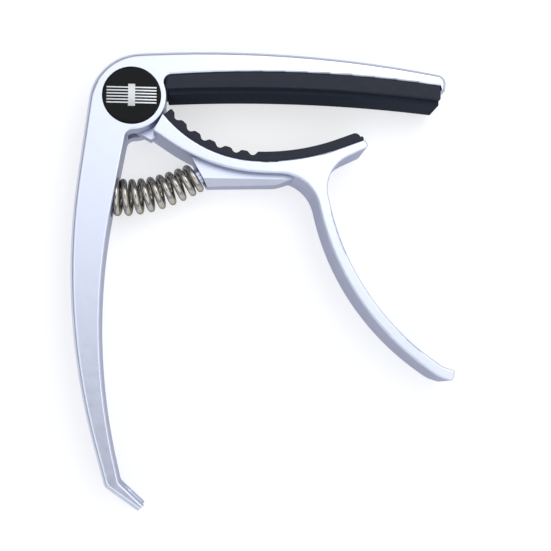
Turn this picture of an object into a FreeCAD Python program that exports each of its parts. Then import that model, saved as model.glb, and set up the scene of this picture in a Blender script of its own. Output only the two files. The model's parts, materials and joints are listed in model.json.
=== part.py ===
import FreeCAD, Part
import math
import os

# Guitar trigger capo, millimetres. It lies on its back: +Z is the cap side, +X runs along the jaws
# away from the pivot and +Y runs from the long handle towards the upper jaw. Everything is laid out
# about the pivot axis and moved at the end, so that the origin is the middle of the outline on the
# surface that the capo lies on.

# ---- driving dimensions -----------------------------------------------------------------------
depth = 12.0                 # both castings, rear face to front face
jaw_length = 68.7            # pivot to the tip of the upper jaw
handle_length = 87.5         # pivot to the lowest point of the long handle
lever_reach = 51.2           # pivot to the tip of the lower jaw
lever_drop = 60.9            # pivot down to the end of the short handle
lever_spread = 69.6          # pivot out to the end of the short handle
open_angle = 18.0            # how far the lever swings open, in degrees
jaw_gap = 6.25               # bottom of the lower jaw's saddle below the boss

arm_rise = 2.75              # crest of the upper jaw's back above the top of the boss
back_wall = 4.05             # what the turn round the pivot is larger in radius than the boss
arm_top_radius = 263.0
arm_under = 6.0              # crest of the upper jaw's pad seat above the pivot
arm_under_radius = 267.5
lip_drop = 0.9               # lip that closes the end of the pad seat
lip_thick = 1.3
back_round = 1.0             # rounding along the outer back of the frame
grip_round = 0.4             # rounding along the other edges that a hand meets

rim_wall = 1.15              # wall of the boss round a cap
ear_thick = 3.9              # each ear of the fork, outer face to inner face
cap_radius = 6.25
cap_proud = 0.3
cap_skin = 1.35
cap_skirt = 0.95             # radial thickness of the cap's skirt
recess_depth = 2.4
pin_radius = 2.25
pin_head_lip = 1.25          # how far the head stands out from the pin
pin_head_thick = 1.1
clip_thick = 0.6
clip_lip = 1.35              # how far the clip stands out from the pin
groove_depth = 0.45
washer_thick = 0.35
washer_radius = 5.4
bush_wall = 0.85
hub_radius = 5.6
stop_lug_height = 1.6
stop_lug_width = 20.0        # degrees
stop_lug_angle = 90.0        # where the middle of the lug stands with the jaws shut, in degrees

pad_base = 3.5               # upper pad: the bar that lies in the seat
pad_strip = 1.1              # upper pad: the strip that meets the strings
pad_strip_radius = 350.0     # curved like a fretboard
pad_ledge = 1.3              # how far the strip is set in from each side
pad_inset = 0.3              # pads, from each face of the castings
lower_pad_thick = 2.1
ridge_depth = 0.85
ridge_pitch = 3.6
ridge_count = 6
valley_radius = 0.95

lever_thick = 2.4            # short handle
plate_radius_near = 26.6     # saddle of the lower jaw beside the pivot
plate_radius_far = 50.0      # and towards its tip
rib_depth = 7.0              # spring-seat rib under the lower jaw, along Z
rib_chamfer = 1.6
wire = 1.5
spring_wide = 8.4            # outer diameter at the long handle
spring_narrow = 6.7          # outer diameter at the lever
half_turns = 18
pocket_depth = 1.5
stud_height = 2.2
foot_lift = 0.2              # extra room under the first turn, which leans with the spring's bow

notch_width = 5.0            # bridge-pin puller in the bent end of the long handle
notch_length = 5.6

# ---- clearances -------------------------------------------------------------------------------
running_gap = 0.03           # radial, moving cylinder fits
snug_gap = 0.05              # radial, parts that don't move on each other
side_gap = 0.05              # axial, tongue to thrust washer
swing_gap = 0.4              # casting to casting while the lever swings
shoulder_gap = 0.3           # lever shoulder to the boss
stop_gap = 0.03              # stop lug to its wall with the jaws shut
coil_gap = 0.1               # spring to its pocket, seat and stud

MIDDLE = depth / 2
boss_radius = cap_radius + snug_gap + rim_wall
arm_top = boss_radius + arm_rise
Z = FreeCAD.Vector(0, 0, 1)


# ---- small tools ------------------------------------------------------------------------------
def vec(x, y, z=0.0):
    return FreeCAD.Vector(x, y, z)


def polar(radius, degrees, z=0.0):
    turn = math.radians(degrees)
    return vec(radius * math.cos(turn), radius * math.sin(turn), z)


def arcs_and_runs(corners, closed=True):
    """Straight runs joined by tangent arcs. A corner is x, y, radius."""
    count = len(corners)
    edges, last, first = [], None, None
    for i, (x, y, radius) in enumerate(corners):
        corner = vec(x, y)
        start = end = corner
        arc = None
        inner = closed or 0 < i < count - 1
        if radius > 0 and inner:
            back = vec(*corners[i - 1][:2]).sub(corner).normalize()
            ahead = vec(*corners[(i + 1) % count][:2]).sub(corner).normalize()
            half = back.getAngle(ahead) / 2
            start = corner + back * (radius / math.tan(half))
            end = corner + ahead * (radius / math.tan(half))
            inward = (back + ahead).normalize()
            middle = corner + inward * (radius / math.sin(half) - radius)
            arc = Part.Arc(start, middle, end).toShape()
        if last is not None and last.distanceToPoint(start) > 1e-6:
            edges.append(Part.LineSegment(last, start).toShape())
        if first is None:
            first = start
        if arc is not None:
            edges.append(arc)
        last = end
    if closed and last.distanceToPoint(first) > 1e-6:
        edges.append(Part.LineSegment(last, first).toShape())
    return edges


def face_of(corners):
    return Part.Face(Part.Wire(Part.__sortEdges__(arcs_and_runs(corners))))


def plate(face, low, high):
    lifted = face.copy()
    lifted.translate(Z * low)
    return lifted.extrude(Z * (high - low))


def disc(radius, low, high):
    return Part.makeCylinder(radius, high - low, vec(0, 0, low))


def ring(outer, inner, low, high):
    return disc(outer, low, high).cut(disc(inner, low, high))


def turned(shape, degrees):
    copy = shape.copy()
    copy.rotate(vec(0, 0), Z, degrees)
    return copy


def middle_of(edge):
    return edge.valueAt((edge.FirstParameter + edge.LastParameter) / 2)


def rim_edges(solid, chain, levels):
    """Edges of the solid that lie over the given flat chain, at the given heights."""
    marks = [middle_of(edge) for edge in chain]
    found = []
    for edge in solid.Edges:
        spot = middle_of(edge)
        if any(abs(spot.z - level) < 1e-4 for level in levels):
            if any(math.hypot(spot.x - m.x, spot.y - m.y) < 1e-3 for m in marks):
                found.append(edge)
    return found


def upright_edges(solid, places, reach):
    """Edges along Z that stand within reach of one of the places."""
    found = []
    for edge in solid.Edges:
        if abs(abs(edge.tangentAt(edge.FirstParameter).z) - 1) > 1e-6:
            continue
        spot = middle_of(edge)
        if any(math.hypot(spot.x - p.x, spot.y - p.y) < reach for p in places):
            found.append(edge)
    return found


def crossing(p, along_p, q, along_q):
    """Where two straight lines in the XY plane meet."""
    bend = along_p.x * along_q.y - along_p.y * along_q.x
    step = ((q.x - p.x) * along_q.y - (q.y - p.y) * along_q.x) / bend
    return p + along_p * step


def bow_spot(x, middle, crest, radius):
    """Point at x on an upward bow of that radius, and the way the bow runs there."""
    rise = math.sqrt(radius**2 - (x - middle) ** 2)
    return vec(x, crest - radius + rise), vec(rise, middle - x).normalize()


def bow_corner(left, right, middle, crest, radius):
    """Corner whose arc is that bow from left to right."""
    return crossing(*bow_spot(left, middle, crest, radius), *bow_spot(right, middle, crest, radius))


def sideways(corners, distance):
    """The open line of corners moved to its left by distance, arcs kept concentric."""
    spots = [vec(x, y) for x, y, _ in corners]
    runs = [(spots[i + 1] - spots[i]).normalize() for i in range(len(spots) - 1)]
    lefts = [vec(-run.y, run.x) for run in runs]
    moved = [spots[0] + lefts[0] * distance]
    for i in range(1, len(spots) - 1):
        before = spots[i] + lefts[i - 1] * distance
        after = spots[i] + lefts[i] * distance
        moved.append(crossing(before, runs[i - 1], after, runs[i]))
    moved.append(spots[-1] + lefts[-1] * distance)
    result = []
    for i, spot in enumerate(moved):
        radius = corners[i][2]
        if radius > 0 and 0 < i < len(corners) - 1:
            left_turn = runs[i - 1].x * runs[i].y - runs[i - 1].y * runs[i].x > 0
            radius += -distance if left_turn else distance
        result.append((spot.x, spot.y, radius))
    return result


# ---- shared lines -----------------------------------------------------------------------------
arm = jaw_length / 68.7          # stretch of the upper jaw's outline
leg = handle_length / 87.5       # stretch of the long handle's outline
reach = lever_reach / 51.2       # stretch of the lower jaw's outline
drop = lever_drop / 60.9
spread = lever_spread / 69.6

# The shoulder of the lever is a straight face that touches a circle about the pivot.
SHOULDER_ANGLE = -28.6
SHOULDER_OUT = polar(1, SHOULDER_ANGLE)
SHOULDER_ALONG = vec(-SHOULDER_OUT.y, SHOULDER_OUT.x)
SHOULDER_FOOT = SHOULDER_OUT * (boss_radius + shoulder_gap)
SHOULDER_LENGTH = 5.6

# The saddle of the lower jaw: steep beside the pivot, level in the middle, rising to the tip.
SADDLE_START = SHOULDER_FOOT + SHOULDER_ALONG * -0.1
SADDLE_LOW = -boss_radius - jaw_gap
SADDLE_STEEP = vec(0.642, -0.767)
SADDLE_RISE = vec(0.9348, 0.3552)
near_corner = crossing(SADDLE_START, SADDLE_STEEP, vec(0, SADDLE_LOW), vec(1, 0))
far_corner = vec(36.7 * reach, SADDLE_LOW)
near_turn = math.atan2(-SADDLE_STEEP.y, SADDLE_STEEP.x)
near_room = 0.99 * near_corner.distanceToPoint(SADDLE_START) / math.tan(near_turn / 2)
near_radius = min(plate_radius_near * reach, near_room)
far_turn = math.atan2(SADDLE_RISE.y, SADDLE_RISE.x)
far_room = (far_corner.x - near_corner.x - near_radius * math.tan(near_turn / 2)) / math.tan(far_turn / 2)
far_radius = min(plate_radius_far * reach, 0.995 * far_room)
saddle_end = crossing(far_corner, SADDLE_RISE, vec(lever_reach - 0.9, 0), vec(0, 1))
SADDLE = [
    (SADDLE_START.x, SADDLE_START.y, 0),
    (near_corner.x, near_corner.y, near_radius),
    (far_corner.x, far_corner.y, far_radius),
    (saddle_end.x, saddle_end.y, 0),
]

PAD_MIDDLE = 32.0 * arm          # where the bows of the upper pad have their crest

# The upper jaw's two bows, each a middle, a crest and a radius, and the ends of each.
BACK_BOW = (22.4 * arm, arm_top, arm_top_radius)
BACK_ENDS = (4.0, jaw_length - 2.2)
SEAT_BOW = (33.2 * arm, arm_under, arm_under_radius)
SEAT_ENDS = (4.6, jaw_length - lip_thick)

# Edges of the long handle: a point inside the boss and the corner of the long bow, inner and outer.
HANDLE_TOP = vec(1.06, 4.1)
HANDLE_WAIST = vec(-8.97, -51.9 * leg)
HANDLE_LEAN = (HANDLE_WAIST - HANDLE_TOP).normalize()
HANDLE_OUT = vec(-HANDLE_LEAN.y, HANDLE_LEAN.x)
BACK_TOP = vec(-boss_radius - 0.39, boss_radius + 1.28)
BACK_WAIST = vec(-14.8, -46.6 * leg)

# Spring: foot in the long handle, seat under the lower jaw.
SPRING_LEVEL = SADDLE_LOW - 7.4
FOOT = crossing(HANDLE_TOP, HANDLE_LEAN, vec(0, SPRING_LEVEL), vec(1, 0))
FOOT_AXIS = HANDLE_OUT
SEAT = vec(14.8, SADDLE_LOW - 2.3)
SEAT_AXIS = vec(0.875, 0.484).normalize()
spring_start = FOOT - FOOT_AXIS * pocket_depth


def spring_line(share):
    """Centre line of the spring, a cubic curve that leaves the pocket and meets the seat squarely."""
    pull = (SEAT - spring_start).Length / 3
    a, b = spring_start, spring_start + FOOT_AXIS * pull
    c, d = SEAT - SEAT_AXIS * pull, SEAT
    rest = 1 - share
    return a * rest**3 + b * (3 * rest**2 * share) + c * (3 * rest * share**2) + d * share**3


# ---- main frame -------------------------------------------------------------------------------
def frame_outline():
    """Outer chain from the lip round the back to the puller tip, then the inner chain."""
    crest = bow_corner(*BACK_ENDS, *BACK_BOW)
    shoulder = crossing(*bow_spot(BACK_ENDS[0], *BACK_BOW), BACK_WAIST, BACK_TOP - BACK_WAIST)
    nose = crossing(*bow_spot(BACK_ENDS[1], *BACK_BOW), vec(jaw_length + 0.1, 0), vec(0, 1))
    seat = bow_corner(*SEAT_ENDS, *SEAT_BOW)
    armpit = crossing(*bow_spot(SEAT_ENDS[0], *SEAT_BOW), HANDLE_WAIST, HANDLE_LEAN)
    seat_end = bow_spot(SEAT_ENDS[1], *SEAT_BOW)[0]
    lip_foot = seat_end.y - lip_drop
    outer = [
        (jaw_length - 0.3, lip_foot, 0),
        (nose.x, nose.y, 2.0),
        (crest.x, crest.y, arm_top_radius),
        (shoulder.x, shoulder.y, boss_radius + back_wall),
        (BACK_WAIST.x, BACK_WAIST.y, 142.0 * leg),
        (-4.5, -82.6 * leg, 1.6),
        (2.35, -87.5 * leg, 0),
    ]
    inner = [
        (2.35, -87.5 * leg, 0),
        (3.55, -86.5 * leg, 0),
        (-1.55, -81.75 * leg, 1.4),
        (HANDLE_WAIST.x, HANDLE_WAIST.y, 132.0 * leg),
        (armpit.x, armpit.y, 0),
        (seat.x, seat.y, arm_under_radius),
        (seat_end.x, seat_end.y, 0),
        (seat_end.x + 0.15, lip_foot, 0),
        (jaw_length - 0.3, lip_foot, 0),
    ]
    return arcs_and_runs(outer, closed=False), arcs_and_runs(inner, closed=False)


def boss_corners():
    """Where the boss meets the pad seat and the inner edge of the long handle."""
    seat, seat_run = bow_spot(SEAT_ENDS[0], *SEAT_BOW)
    found = []
    for spot, run in ((seat, seat_run), (HANDLE_WAIST, HANDLE_LEAN)):
        foot = spot - run * spot.dot(run)
        half = math.sqrt(boss_radius**2 - foot.Length**2)
        found.append(foot + run * half)
    return found


def tongue_face(growth):
    """Hub and neck of the lever between the ears, grown by a gap on every side."""
    hub = hub_radius + growth
    top = SHOULDER_FOOT + SHOULDER_ALONG * (growth - 0.3)
    low = SHOULDER_FOOT - SHOULDER_ALONG * (SHOULDER_LENGTH + growth)
    inside = SHOULDER_FOOT - SHOULDER_ALONG * 2.5 + SHOULDER_OUT * 2.0
    upper_turn = math.degrees(math.atan2(top.y, top.x) + math.acos(hub / top.Length))
    lower_turn = math.degrees(math.atan2(low.y, low.x) - math.acos(hub / low.Length))
    neck = Part.makePolygon([
        vec(0, 0), polar(hub, upper_turn), top, top + SHOULDER_OUT, inside, low,
        polar(hub, lower_turn), vec(0, 0),
    ])
    circle = Part.Face(Part.Wire(Part.makeCircle(hub)))
    return circle.fuse(Part.Face(neck)).removeSplitter()


def sector(inner, outer, start, end, low, high):
    """A wedge of a ring between two angles in degrees."""
    wedge = ring(outer, inner, low, high)
    reach_out = outer * 3
    corners = [vec(0, 0, low)] + [polar(reach_out, a, low) for a in (start, (start + end) / 2, end)]
    cutter = Part.Face(Part.makePolygon(corners + [corners[0]])).extrude(Z * (high - low))
    return wedge.common(cutter)


def tip_wall():
    """Metal between the back and the pad seat of the upper jaw, where the seat ends."""
    back, seat = (bow_spot(SEAT_ENDS[1], *bow)[0] for bow in (BACK_BOW, SEAT_BOW))
    return back.y - seat.y


def lug_span():
    return stop_lug_angle - stop_lug_width / 2, stop_lug_angle + stop_lug_width / 2


def make_frame():
    outer, inner = frame_outline()
    sheet = Part.Face(Part.Wire(Part.__sortEdges__(outer + inner)))
    boss = Part.Face(Part.Wire(Part.makeCircle(boss_radius)))
    body = plate(sheet.fuse(boss).removeSplitter(), 0, depth)
    body = body.makeFillet(1.7, upright_edges(body, boss_corners(), 0.8))
    rounding = min(back_round, 0.8 * lip_thick)
    body = body.makeFillet(rounding, rim_edges(body, outer, (0, depth)))
    # the rounding of the inner rim runs on round the seat, so the wall at the jaw's tip limits it
    inner_round = min(grip_round, 0.27 * (tip_wall() - rounding))
    body = body.makeFillet(inner_round, rim_edges(body, inner[1:4], (0, depth)))

    fork = (ear_thick, depth - ear_thick)
    for angle in (0, -open_angle / 2, -open_angle - 1):
        body = body.cut(turned(plate(tongue_face(swing_gap), *fork), angle))
    first, last = lug_span()
    shut = last + math.degrees(stop_gap / hub_radius)
    opened = first - open_angle - math.degrees(stop_gap / hub_radius)
    lug_tip = hub_radius + stop_lug_height + swing_gap
    body = body.cut(sector(hub_radius - 1, lug_tip, opened, shut, *fork))

    for low, high in ((0, recess_depth), (depth - recess_depth, depth)):
        body = body.cut(disc(cap_radius + snug_gap, low, high))
    body = body.cut(disc(pin_radius + running_gap, 0, depth))

    pocket = Part.makeCylinder(
        spring_wide / 2 + coil_gap * 2, pocket_depth + 3, spring_start + Z * MIDDLE, FOOT_AXIS)
    body = body.cut(pocket)
    return body.cut(puller_notch())


def puller_notch():
    """Slot with a round end, cut square through the bent end of the long handle."""
    tip = vec(2.95, -87.0 * leg)
    along = vec(-0.77, 0.638)
    through = vec(0.638, 0.77) * 6
    half = notch_width / 2
    round_end = tip + along * (notch_length - half)
    drill = Part.makeCylinder(half, 2 * through.Length, round_end - through + Z * MIDDLE, through)
    mouth = tip - along * 3
    sides = [round_end - through, round_end + through, mouth + through, mouth - through]
    slot = plate(Part.Face(Part.makePolygon(sides + sides[:1])), MIDDLE - half, MIDDLE + half)
    return drill.fuse(slot)


# ---- lever ------------------------------------------------------------------------------------
def lever_outline():
    """Chain that a hand meets, from the jaw's tip round both sides of the short handle."""
    under_tip = vec(47.2 * reach, SADDLE_LOW + 1.7)
    throat = crossing(under_tip, vec(-0.9, -0.436), vec(42.3 * reach, SADDLE_LOW - 7.3), vec(0.225, -0.974))
    elbow = vec(47.65 * spread, -44.15 * drop)
    heel = vec(66.9 * spread, -57.7 * drop)
    end = vec(lever_spread, -lever_drop + lever_thick)
    right = [
        (under_tip.x, under_tip.y, 0),
        (throat.x, throat.y, 8.0),
        (elbow.x, elbow.y, 55.0 * min(spread, drop)),
        (heel.x, heel.y, 4.0),
        (end.x, end.y, 0),
    ]
    left = sideways(right[1:], -lever_thick)[1:]
    hip = crossing(vec(36.5 * reach, SADDLE_LOW - 2.65), vec(1, -0.045), vec(left[0][0], left[0][1]),
                   vec(throat.x - elbow.x, throat.y - elbow.y))
    low = SHOULDER_FOOT - SHOULDER_ALONG * (SHOULDER_LENGTH - 1.2)
    return [
        (saddle_end.x, saddle_end.y, 0.7),
        (lever_reach + 0.1, SADDLE_LOW + 3.6, 0.7),
        *right[1:4],
        (end.x, end.y, 0.6),
        (left[-1][0], left[-1][1], 0.6),
        *reversed(left[:-1]),
        (hip.x, hip.y, 8.5),
        (17.1, SADDLE_LOW - 2.25, 38.0 * reach),
        (low.x, low.y, 0),
    ]


def make_rib():
    """Bar under the lower jaw whose slanted end is the spring's seat, chamfered along its foot."""
    down = vec(SEAT_AXIS.y, -SEAT_AXIS.x)
    top, toe = SEAT - down * 5.0, SEAT + down * 3.2
    low, high = MIDDLE - rib_depth / 2, MIDDLE + rib_depth / 2
    rib = plate(face_of([
        (top.x, top.y, 0), (toe.x, toe.y, 0.4), (31.5 * reach, toe.y + 0.5, 6.0),
        (36.0 * reach, SADDLE_LOW - 2.9, 0), (30.0 * reach, SADDLE_LOW - 1.1, 0),
        (17.0, SADDLE_LOW + 0.7, 0),
    ]), low, high)
    left, crest, foot, cut = top.x - 5, top.y + 5, toe.y, rib_chamfer
    section = Part.Face(Part.makePolygon([
        vec(left, crest, low), vec(left, foot + cut, low), vec(left, foot, low + cut),
        vec(left, foot, high - cut), vec(left, foot + cut, high), vec(left, crest, high),
        vec(left, crest, low),
    ]))
    return rib.common(section.extrude(vec(lever_reach, 0)))


def make_lever():
    chain = lever_outline()
    corners = SADDLE[:-1] + chain
    body = plate(face_of(corners), 0, depth)
    touch = [edge for edge in arcs_and_runs(corners) if not on_saddle(middle_of(edge))]
    body = body.makeFillet(grip_round, rim_edges(body, touch, (0, depth)))

    low, high = ear_thick + washer_thick + side_gap, depth - ear_thick - washer_thick - side_gap
    tongue = plate(tongue_face(0), low, high)
    first, last = lug_span()
    lug = sector(hub_radius - 0.5, hub_radius + stop_lug_height, first, last, low, high)
    body = body.fuse([tongue, lug, make_rib()])
    stud = Part.makeCylinder(spring_narrow / 2 - wire - coil_gap, stud_height + 1,
                             SEAT + SEAT_AXIS + Z * MIDDLE, SEAT_AXIS * -1)
    body = body.fuse(stud).removeSplitter()
    return body.cut(disc(pin_radius + bush_wall, 0, depth))


def on_saddle(spot):
    """True on the pad side and on the shoulder, where the casting keeps its sharp edge."""
    if (spot - SHOULDER_FOOT).dot(SHOULDER_OUT) < 0.05:
        return True
    line = arcs_and_runs(SADDLE, closed=False)
    return Part.Vertex(vec(spot.x, spot.y)).distToShape(Part.Wire(line))[0] < 0.05


# ---- pads -------------------------------------------------------------------------------------
def slab(left, right, top, low, side):
    """Bar between two bows, each a crest and a radius, set in from both faces by side."""
    stations = (left, (left + right) / 2, right)
    spots = [[bow_spot(x, PAD_MIDDLE, *bow)[0] for x in stations] for bow in (top, low)]
    edges = [Part.Arc(*row).toShape() for row in spots]
    for upper, lower in ((spots[0][0], spots[1][0]), (spots[0][2], spots[1][2])):
        edges.append(Part.LineSegment(upper, lower).toShape())
    return plate(Part.Face(Part.Wire(Part.__sortEdges__(edges))), side, depth - side)


def make_upper_pad(frame):
    left, right = boss_radius - 0.6, jaw_length - lip_thick + 0.2
    under = arm_under - pad_base
    base = slab(left, right, (arm_under + 1.0, arm_under_radius), (under, pad_strip_radius), pad_inset)
    base = base.cut(frame)
    toe = bow_spot(boss_radius - 0.2, PAD_MIDDLE, under, pad_strip_radius)[0]
    base = base.makeFillet(0.3, upright_edges(base, [toe], 0.3))
    strip = slab(boss_radius + 0.45, right - 0.4, (under + 0.5, pad_strip_radius),
                 (under - pad_strip, pad_strip_radius), pad_inset + pad_ledge)
    return base.fuse(strip).removeSplitter()


def make_lower_pad(lever):
    top = sideways(SADDLE, lower_pad_thick)
    low = sideways(SADDLE, -0.8)
    outline = [(low[0][0], low[0][1], 0), *low[1:3], (low[3][0], low[3][1], 0)]
    end = vec(top[3][0], top[3][1]) - SADDLE_RISE * 0.6
    outline += [(end.x, end.y, 1.2), *reversed(top[1:3]), (top[0][0], top[0][1], 0.5)]
    pad = plate(face_of(outline), pad_inset, depth - pad_inset).cut(lever)
    pad = pad.cut(disc(boss_radius + shoulder_gap, 0, depth))
    centre = vec(*saddle_centre())
    crest = near_radius - lower_pad_thick
    first = math.degrees(math.atan2(SADDLE_START.y - centre.y, SADDLE_START.x - centre.x)) + 5.6
    for i in range(ridge_count):
        turn = first + i * math.degrees(ridge_pitch / crest)
        out = crest + ridge_depth - valley_radius
        spot = centre + polar(out, turn)
        valley = Part.makeCylinder(valley_radius, depth, spot)
        mouth = plate(Part.Face(Part.makePolygon(fan(centre, spot, turn))), 0, depth)
        pad = pad.cut(valley.fuse(mouth))
    return pad


def fan(centre, spot, turn):
    """Opening of one valley towards the jaw gap, a little wider at its mouth."""
    side = polar(1, turn + 90)
    away = polar(1, turn + 180)
    foot_left, foot_right = spot + side * valley_radius, spot - side * valley_radius
    rise = away * 1.6
    return [foot_left, foot_left + rise + side * 0.35, foot_right + rise - side * 0.35, foot_right, foot_left]


def saddle_centre():
    """Centre of the arc of the saddle that lies beside the pivot."""
    return near_corner.x + near_radius * math.tan(near_turn / 2), SADDLE_LOW + near_radius


# ---- spring and pivot pieces ------------------------------------------------------------------
def make_spring():
    """One wire of half rings. Each half ring swings over from one side of the centre line to the
    other, and all of them leave and arrive along Z, so that the wire runs on without a corner."""
    length = sum((spring_line((i + 1) / 60) - spring_line(i / 60)).Length for i in range(60))
    closed_step = (wire + 0.1) / 2
    inner_steps = half_turns - 4
    free = length - wire - 2 * coil_gap - foot_lift - 4 * closed_step
    steps = [closed_step] * 2 + [free / inner_steps] * inner_steps + [closed_step] * 2
    first = coil_gap + foot_lift + wire / 2
    places = [(first + sum(steps[:i])) / length for i in range(half_turns + 1)]
    spots = []
    for i, share in enumerate(places):
        along = (spring_line(share + 0.001) - spring_line(share - 0.001)).normalize()
        radius = (spring_wide + (spring_narrow - spring_wide) * share - wire) / 2
        side = vec(-along.y, along.x) * (-radius if i % 2 else radius)
        spots.append(spring_line(share) + side + Z * MIDDLE)
    pieces = []
    for i in range(half_turns):
        section = Part.Face(Part.Wire(Part.makeCircle(wire / 2, spots[i], Z)))
        centre = (spots[i] + spots[i + 1]) * 0.5
        axis = (spots[i + 1] - spots[i]).cross(Z).normalize()
        pieces.append(section.revolve(centre, axis, 180 if i % 2 else -180))
    return pieces[0].multiFuse(pieces[1:]).removeSplitter()


def make_pin():
    head_low = depth - recess_depth
    end = recess_depth - clip_thick - snug_gap - 0.45
    pin = disc(pin_radius, end, head_low).fuse(disc(pin_radius + pin_head_lip, head_low, head_low + pin_head_thick))
    groove_high = recess_depth - snug_gap
    groove = ring(pin_radius + 1, pin_radius - groove_depth, groove_high - clip_thick, groove_high)
    pin = pin.removeSplitter().cut(groove)
    rim = [e for e in pin.Edges if abs(middle_of(e).z - head_low - pin_head_thick) < 1e-6]
    return pin.makeFillet(0.3, rim)


def make_clip():
    """Open ring that snaps into the groove of the pin."""
    high = recess_depth - snug_gap
    low = high - clip_thick
    clip_radius = pin_radius + clip_lip
    clip = ring(clip_radius, pin_radius - groove_depth, low, high)
    mouth = Part.makeBox(clip_radius + 1, 2 * (pin_radius - groove_depth) * 0.8, clip_thick,
                         vec(0, -(pin_radius - groove_depth) * 0.8, low))
    return turned(clip.cut(mouth), -120)


def make_cap(front):
    """Shallow cup that snaps into the recess and hides the end of the pin."""
    top = depth + (cap_proud if front else 0)
    skin = cap_skin if front else cap_skin - cap_proud
    cup = disc(cap_radius, depth - recess_depth, top)
    cup = cup.cut(disc(cap_radius - cap_skirt, depth - recess_depth, top - skin))
    rim = [e for e in cup.Edges if abs(middle_of(e).z - top) < 1e-6]
    cup = cup.makeFillet(0.25, rim)
    if not front:
        cup = cup.mirror(vec(0, 0, MIDDLE), Z)
    return cup


def make_parts():
    frame = make_frame()
    lever = make_lever()
    washer_bore = pin_radius + running_gap
    low, high = ear_thick, depth - ear_thick
    return {
        "main_frame": frame,
        "upper_pad": make_upper_pad(frame),
        "lever": lever,
        "lower_pad": make_lower_pad(lever),
        "spring": make_spring(),
        "pivot_pin": make_pin(),
        "pin_clip": make_clip(),
        "pivot_bush": ring(pin_radius + bush_wall, pin_radius + running_gap,
                           low + washer_thick + side_gap, high - washer_thick - side_gap),
        "front_washer": ring(washer_radius, washer_bore, high - washer_thick, high),
        "rear_washer": ring(washer_radius, washer_bore, low, low + washer_thick),
        "front_cap": make_cap(front=True),
        "rear_cap": make_cap(front=False),
    }


parts = make_parts()
box = Part.makeCompound([parts["main_frame"], parts["lever"]]).optimalBoundingBox(False)
shift = vec(-(box.XMin + box.XMax) / 2, -(box.YMin + box.YMax) / 2)
os.makedirs("parts", exist_ok=True)
for name, shape in parts.items():
    shape.translate(shift)
    shape.exportStep(f"parts/{name}.step")
    print(name, "solids", len(shape.Solids), "valid", shape.isValid(), "mm3", round(shape.Volume, 1))
print("pivot", round(shift.x, 4), round(shift.y, 4))
print("outline", round(box.XLength, 3), round(box.YLength, 3), round(depth + cap_proud, 3))
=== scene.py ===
"""Guitar trigger capo: two satin castings on one pivot, silicone pads, a coil spring and caps."""
import json
import math

import bpy
import numpy as np
from bpy.props import FloatProperty, FloatVectorProperty, IntProperty, PointerProperty
from mathutils import Matrix, Vector


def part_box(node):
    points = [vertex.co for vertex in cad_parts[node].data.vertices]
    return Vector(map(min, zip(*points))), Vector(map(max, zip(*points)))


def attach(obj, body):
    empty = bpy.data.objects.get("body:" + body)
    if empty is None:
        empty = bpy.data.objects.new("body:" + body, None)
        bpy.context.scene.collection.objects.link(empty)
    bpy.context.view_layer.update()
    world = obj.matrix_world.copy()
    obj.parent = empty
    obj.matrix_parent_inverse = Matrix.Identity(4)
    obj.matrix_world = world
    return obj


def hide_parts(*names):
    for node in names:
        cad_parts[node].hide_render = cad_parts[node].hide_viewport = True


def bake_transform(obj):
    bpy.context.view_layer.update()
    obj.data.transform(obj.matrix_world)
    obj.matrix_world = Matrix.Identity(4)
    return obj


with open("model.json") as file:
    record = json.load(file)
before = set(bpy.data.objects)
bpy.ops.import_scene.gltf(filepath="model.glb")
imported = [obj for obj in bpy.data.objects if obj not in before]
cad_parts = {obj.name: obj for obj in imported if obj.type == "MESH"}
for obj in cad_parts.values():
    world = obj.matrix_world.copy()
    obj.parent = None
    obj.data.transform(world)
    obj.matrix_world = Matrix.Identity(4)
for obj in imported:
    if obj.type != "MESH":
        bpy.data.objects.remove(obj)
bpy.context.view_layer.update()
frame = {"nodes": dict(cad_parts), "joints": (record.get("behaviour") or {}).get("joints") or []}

bl_info = {
    "name": "Guitar trigger capo",
    "version": (1, 0, 0),
    "blender": (4, 5, 0),
    "location": "View3D > Sidebar > Capo",
    "description": "Pads, coil spring, caps, finishes and studio of a spring-loaded guitar capo",
    "category": "Object",
}

MM = 0.001
PIVOT_JOINT = frame["joints"][0]
PIVOT = np.array(PIVOT_JOINT["pos_m"][:2]) / MM      # the hinge axis, mm in the row frame
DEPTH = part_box("main_frame")[1].z / MM               # thickness of both castings, mm
MIDDLE = DEPTH / 2


# ---- colours ----------------------------------------------------------------------------------
def linear(code):
    """An sRGB hex colour such as #8899AA as linear red, green, blue."""
    parts = [int(code[i:i + 2], 16) / 255 for i in (1, 3, 5)]
    return tuple(c / 12.92 if c <= 0.04045 else ((c + 0.055) / 1.055) ** 2.4 for c in parts)


def colour(name, description, code):
    return FloatVectorProperty(name=name, description=description, subtype="COLOR", size=3,
                               min=0.0, max=1.0, default=linear(code))


def length(name, description, millimetres):
    return FloatProperty(name=name, description=description, unit="LENGTH",
                         default=millimetres * MM, min=0.0, precision=5)


# ---- what a user would change -----------------------------------------------------------------
class CapoFinishes(bpy.types.PropertyGroup):
    casting: colour("Casting", "Satin lacquer over the cast aluminium", "#D7DCEC")
    silicone: colour("Silicone", "Moulded pads", "#232733")
    strip: colour("String strip", "Denser silicone of the strip that meets the strings", "#282D38")
    wire: colour("Spring wire", "Nickel plate on the spring", "#B4B0A8")
    cap: colour("Caps", "Gloss black of the pivot caps", "#08090B")
    print_silver: colour("Cap print", "Silver print on the front cap", "#D4D6D8")
    pin: colour("Pin", "Bright steel of the pin and its clip", "#B9BCC0")
    bush: colour("Bush", "Oil bronze of the pivot bush", "#A9773F")
    washer: colour("Washers", "Natural nylon of the thrust washers", "#E6E2D6")
    floor: colour("Floor", "Pale paper that the capo lies on", "#BCBDBF")


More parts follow.
